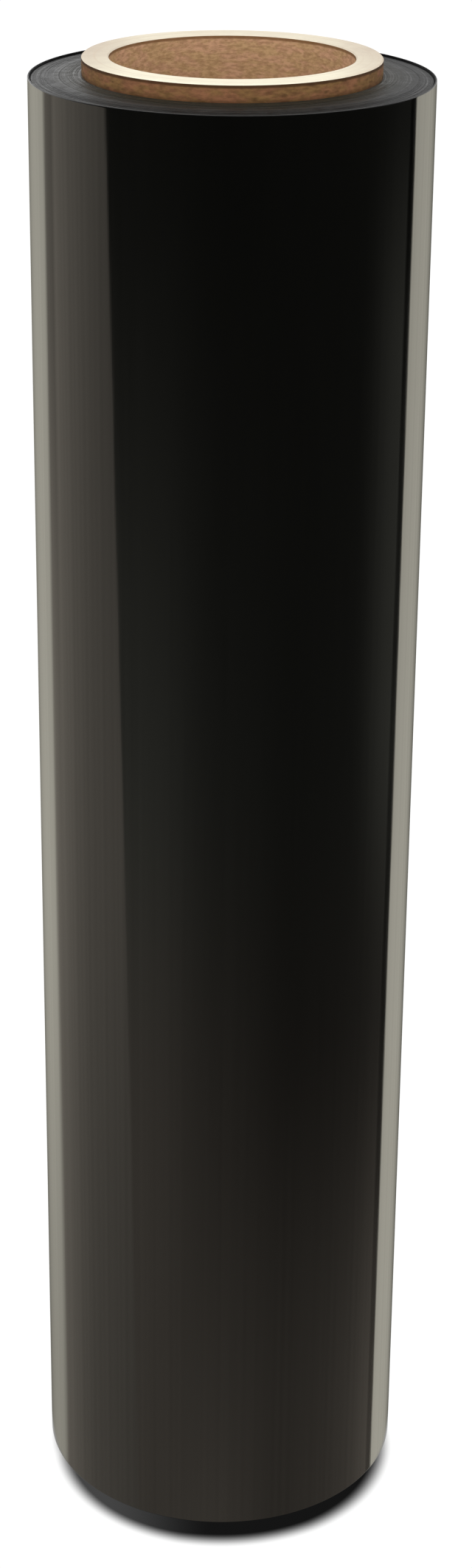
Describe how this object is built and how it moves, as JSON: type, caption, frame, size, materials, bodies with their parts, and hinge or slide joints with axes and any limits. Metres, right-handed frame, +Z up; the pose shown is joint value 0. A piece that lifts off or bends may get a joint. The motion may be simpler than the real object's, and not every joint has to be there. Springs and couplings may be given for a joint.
{
  "type": "stretch wrap roll",
  "caption": "Black plastic stretch wrap wound tight on a paperboard core that stands out past the film at both ends; stands on its end, and turns on a dispenser through its open bore.",
  "frame": {"origin": "on the roll's axis, at the lower end of the core, which is the plane the roll stands on", "axes": "+Z up along the roll's axis"},
  "size_m": [0.1263, 0.1264, 0.512],
  "materials": {
    "paperboard": "matte spiral-wound kraft paperboard",
    "film": "high gloss black film, satin at the wound ends"
  },
  "bodies": {
    "root": {"core": "paperboard", "film_roll": "film"}
  },
  "joints": []
}
